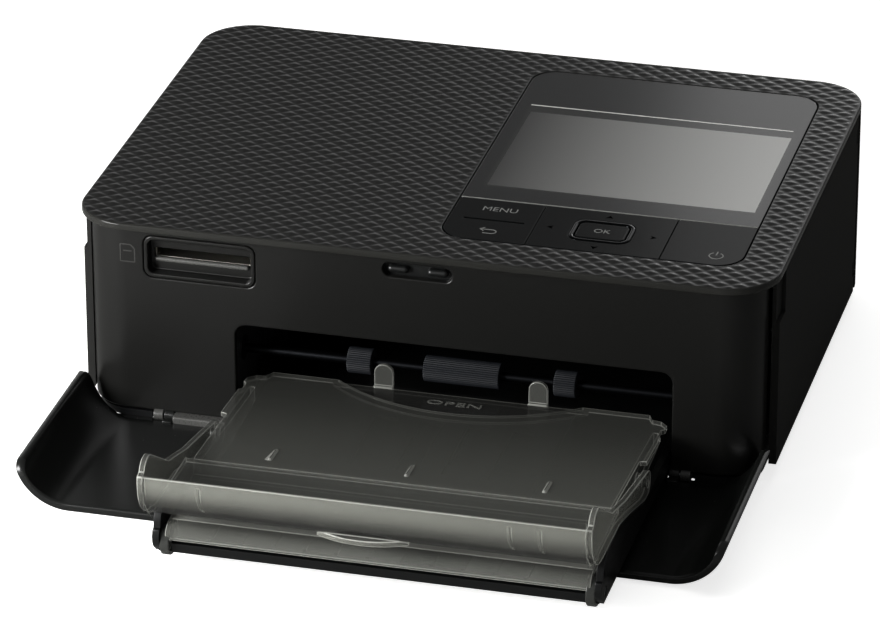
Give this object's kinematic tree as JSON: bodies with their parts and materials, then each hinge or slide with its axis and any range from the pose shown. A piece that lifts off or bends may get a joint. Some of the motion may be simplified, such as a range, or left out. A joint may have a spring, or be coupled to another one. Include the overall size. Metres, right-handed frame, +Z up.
{
  "type": "compact photo printer",
  "caption": "Low box-shaped photo printer with its front door open, a paper cassette with see-through lids inserted, a glossy display panel on top and its paper and ribbon drives inside.",
  "frame": {"origin": "middle of the whole outline at the height of the surface it stands on", "axes": "+X to the right seen from the front, +Y from the front to the back, +Z up; the front door and the cassette reach out towards -Y"},
  "size_m": [0.1822, 0.217, 0.0578],
  "materials": {
    "case_top": "moulded ABS with a fine raised pattern, satin black",
    "case_gloss": "glossy black ABS",
    "case_matte": "fine-textured black ABS",
    "window": "glossy black acrylic",
    "key_plastic": "glossy black with printed marks",
    "bright_trim": "satin chrome plate",
    "rubber": "black rubber",
    "roller_rubber": "ribbed blue-grey rubber",
    "steel_sheet": "zinc-plated sheet steel",
    "steel_shaft": "ground steel",
    "gear_plastic": "natural acetal",
    "gear_brass": "machined brass",
    "motor": "plated motor can",
    "board": "green solder mask with parts",
    "contact": "tinned shield",
    "head_metal": "extruded aluminium",
    "ink_shell": "dark grey polystyrene",
    "film": "dye-coated polyester film",
    "tray_plastic": "black polystyrene",
    "smoke_lid": "smoke grey see-through polystyrene",
    "clear_lid": "clear grey polystyrene"
  },
  "bodies": {
    "printer": {"bottom_case": "case_matte", "rubber_feet": "rubber", "case_screws": "steel_shaft", "top_cover": "case_top", "front_panel": "case_gloss", "left_side_panel": "case_matte", "right_side_panel": "case_matte", "rear_panel": "case_matte", "ink_door_pins": "steel_shaft", "door_hinge_pins": "steel_shaft", "door_catch": "bright_trim", "card_slot_bezel": "case_matte", "card_connector": "contact", "control_window": "window", "lcd_module": "steel_sheet", "key_board": "board", "main_board": "board", "wireless_module": "contact", "dc_inlet": "case_matte", "data_port": "contact", "chassis_left": "steel_sheet", "chassis_right": "steel_sheet", "chassis_bridges": "steel_sheet", "drive_bracket": "steel_sheet", "shaft_bearings": "gear_plastic", "paper_guide": "tray_plastic", "gear_posts": "steel_shaft", "feed_motor": "motor", "head_pivot": "steel_shaft", "ink_cassette": "ink_shell", "ribbon_film": "film", "ribbon_motor": "motor"},
    "ink_door": {"ink_door": "case_matte"},
    "front_door": {"front_door": "case_gloss"},
    "menu_key": {"menu_key": "key_plastic"},
    "key_gimbal": {"key_gimbal": "steel_sheet"},
    "navigation_key": {"navigation_key": "key_plastic", "ok_ring": "bright_trim"},
    "ok_key": {"ok_key": "key_plastic"},
    "power_key": {"power_key": "key_plastic"},
    "pickup_drive": {"pickup_shaft": "steel_shaft", "pickup_rollers": "roller_rubber", "pickup_gear": "gear_plastic"},
    "front_idler": {"idler_gear_front": "gear_plastic"},
    "rear_idler": {"idler_gear_rear": "gear_plastic"},
    "capstan": {"capstan_roller": "steel_shaft"},
    "pinch": {"pinch_roller": "rubber"},
    "feed_pinion": {"motor_pinion": "gear_brass"},
    "platen": {"platen_roller": "rubber"},
    "head": {"print_head": "head_metal", "head_bracket": "steel_sheet"},
    "supply": {"supply_spool": "ink_shell"},
    "takeup": {"takeup_spool": "ink_shell"},
    "ribbon_pinion": {"ribbon_pinion": "gear_brass"},
    "cassette": {"cassette_tray": "tray_plastic", "lift_spring": "steel_shaft"},
    "lift_plate": {"lift_plate": "steel_sheet"},
    "inner_lid": {"inner_lid": "smoke_lid", "inner_lid_pins": "steel_shaft"},
    "outer_lid": {"outer_lid": "clear_lid"}
  },
  "joints": [
    {"name": "front_door_hinge", "type": "hinge", "parent": "printer", "child": "front_door", "pos_m": [0, -0.0216, 0.0032], "axis": [-1, 0, 0], "range_deg": [0, 2]},
    {"name": "ink_door_hinge", "type": "hinge", "parent": "printer", "child": "ink_door", "pos_m": [0.0893, 0.0924, 0.03], "axis": [0, 0, 1], "range_deg": [0, 92]},
    {"name": "menu_rocker", "type": "hinge", "parent": "printer", "child": "menu_key", "pos_m": [0.01375, 0.00085, 0.0562], "axis": [1, 0, 0], "range_deg": [-1.2, 1.2], "stiffness_Nm_per_rad": 0.08},
    {"name": "navigation_tilt_x", "type": "hinge", "parent": "printer", "child": "key_gimbal", "pos_m": [0.04235, 0.00085, 0.0554], "axis": [0, 1, 0], "range_deg": [-1.5, 1.5], "stiffness_Nm_per_rad": 0.08},
    {"name": "navigation_tilt_y", "type": "hinge", "parent": "key_gimbal", "child": "navigation_key", "pos_m": [0.04235, 0.00085, 0.0554], "axis": [1, 0, 0], "range_deg": [-1.5, 1.5], "stiffness_Nm_per_rad": 0.08},
    {"name": "ok_press", "type": "slide", "parent": "navigation_key", "child": "ok_key", "axis": [0, 0, -1], "range_m": [0, 0.0005], "stiffness_N_per_m": 400},
    {"name": "power_press", "type": "slide", "parent": "printer", "child": "power_key", "axis": [0, 0, -1], "range_m": [0, 0.0005], "stiffness_N_per_m": 400},
    {"name": "capstan_spin", "type": "hinge", "parent": "printer", "child": "capstan", "pos_m": [0.009, 0.044, 0.029], "axis": [1, 0, 0], "continuous": true},
    {"name": "rear_idler_spin", "type": "hinge", "parent": "printer", "child": "rear_idler", "pos_m": [-0.053, 0.02565, 0.03102], "axis": [1, 0, 0], "continuous": true},
    {"name": "front_idler_spin", "type": "hinge", "parent": "printer", "child": "front_idler", "pos_m": [-0.053, 0.00759, 0.01766], "axis": [1, 0, 0], "continuous": true},
    {"name": "pickup_spin", "type": "hinge", "parent": "printer", "child": "pickup_drive", "pos_m": [0.009, -0.01, 0.0192], "axis": [1, 0, 0], "continuous": true},
    {"name": "feed_pinion_spin", "type": "hinge", "parent": "printer", "child": "feed_pinion", "pos_m": [-0.053, 0.00759, 0.03372], "axis": [1, 0, 0], "continuous": true},
    {"name": "pinch_spin", "type": "hinge", "parent": "printer", "child": "pinch", "pos_m": [0.009, 0.044, 0.03465], "axis": [1, 0, 0], "continuous": true},
    {"name": "platen_spin", "type": "hinge", "parent": "printer", "child": "platen", "pos_m": [0.009, 0.076, 0.024], "axis": [1, 0, 0], "continuous": true},
    {"name": "head_lift", "type": "hinge", "parent": "printer", "child": "head", "pos_m": [0.009, 0.1035, 0.0502], "axis": [-1, 0, 0], "range_deg": [0, 3.5]},
    {"name": "supply_spin", "type": "hinge", "parent": "printer", "child": "supply", "pos_m": [0.009, 0.096, 0.0435], "axis": [1, 0, 0], "continuous": true},
    {"name": "takeup_spin", "type": "hinge", "parent": "printer", "child": "takeup", "pos_m": [0.009, 0.056, 0.0435], "axis": [1, 0, 0], "continuous": true},
    {"name": "ribbon_pinion_spin", "type": "hinge", "parent": "printer", "child": "ribbon_pinion", "pos_m": [-0.053, 0.06806, 0.0435], "axis": [1, 0, 0], "continuous": true},
    {"name": "cassette_slide", "type": "slide", "parent": "printer", "child": "cassette", "axis": [0, -1, 0], "range_m": [0, 0.15]},
    {"name": "lift_plate_hinge", "type": "hinge", "parent": "cassette", "child": "lift_plate", "pos_m": [0.009, -0.056, 0.0074], "axis": [1, 0, 0], "range_deg": [0, 4], "deforming": ["lift_spring"]},
    {"name": "inner_lid_hinge", "type": "hinge", "parent": "cassette", "child": "inner_lid", "pos_m": [0.009, -0.0932, 0.0072], "axis": [1, 0, 0], "range_deg": [0, 12]},
    {"name": "outer_lid_hinge", "type": "hinge", "parent": "inner_lid", "child": "outer_lid", "pos_m": [0.009, -0.0465, 0.0129], "axis": [-1, 0, 0], "range_deg": [0, 95]}
  ],
  "couplings": [
    {"joint": "rear_idler_spin", "follows": "capstan_spin", "ratio": -0.64286},
    {"joint": "front_idler_spin", "follows": "capstan_spin", "ratio": 0.64286},
    {"joint": "pickup_spin", "follows": "capstan_spin", "ratio": -1.125},
    {"joint": "feed_pinion_spin", "follows": "capstan_spin", "ratio": -1.5},
    {"joint": "pinch_spin", "follows": "capstan_spin", "ratio": -1.25},
    {"joint": "takeup_spin", "follows": "supply_spin", "ratio": 1.5},
    {"joint": "ribbon_pinion_spin", "follows": "supply_spin", "ratio": -2.25}
  ]
}
